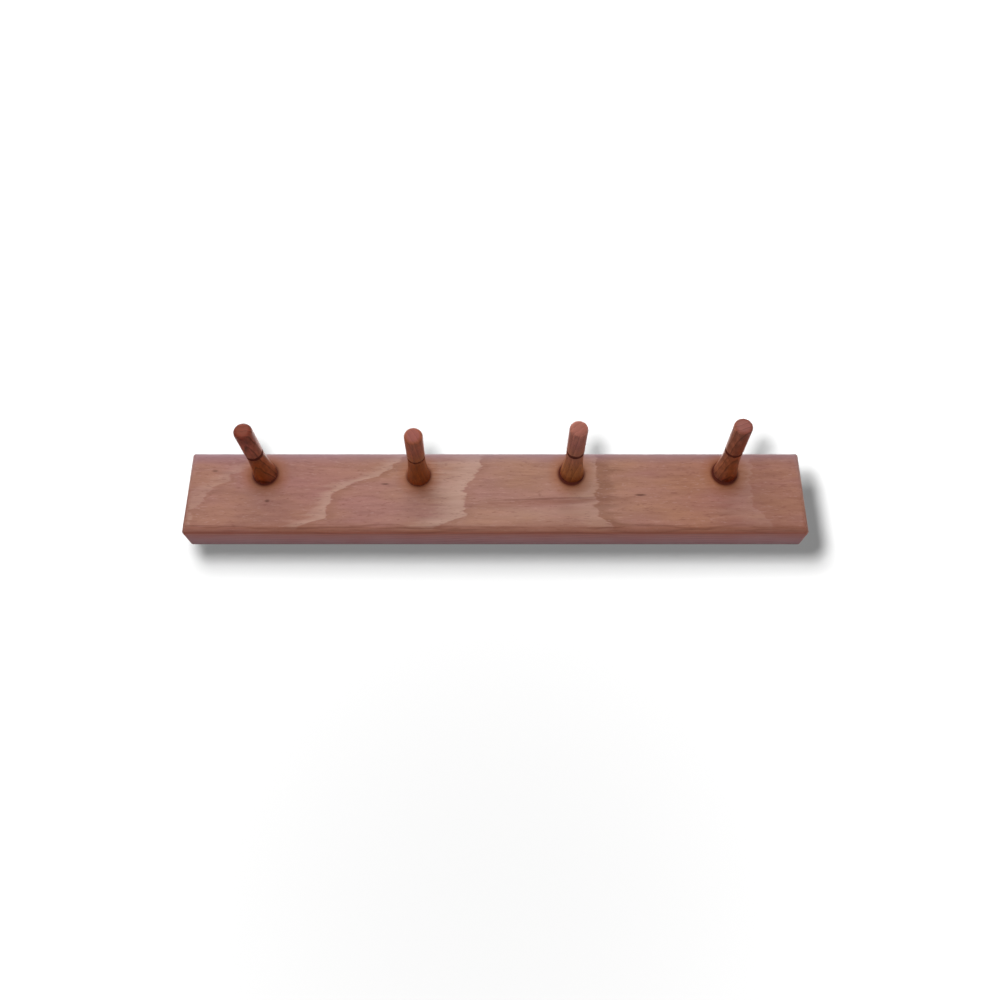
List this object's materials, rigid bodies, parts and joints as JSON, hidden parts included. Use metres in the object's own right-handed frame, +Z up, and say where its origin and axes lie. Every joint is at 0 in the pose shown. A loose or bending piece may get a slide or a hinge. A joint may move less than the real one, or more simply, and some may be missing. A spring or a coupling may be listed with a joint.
{
  "type": "peg rail",
  "caption": "Wooden wall peg rail: a plain board with rounded face edges and turned pegs with a scribed ring, hung from keyhole hangers let into its back.",
  "frame": {"origin": "centre of the board's flat back, on the wall plane", "axes": "+X along the board to the right as seen from the room, +Y into the wall, +Z up; the pegs point to -Y"},
  "size_m": [0.4, 0.0802, 0.057],
  "materials": {
    "beech_board": "steamed beech, planed and sanded, thin oil, satin",
    "beech_peg": "turned beech, burnished on the lathe, darker oil",
    "hanger_steel": "stamped steel, zinc plated",
    "screw_steel": "zinc plated, semi-bright"
  },
  "bodies": {
    "root": {"rail_board": "beech_board", "peg_1": "beech_peg", "peg_2": "beech_peg", "peg_3": "beech_peg", "peg_4": "beech_peg", "keyhole_hanger_left": "hanger_steel", "keyhole_hanger_right": "hanger_steel", "hanger_screws": "screw_steel"}
  },
  "joints": []
}
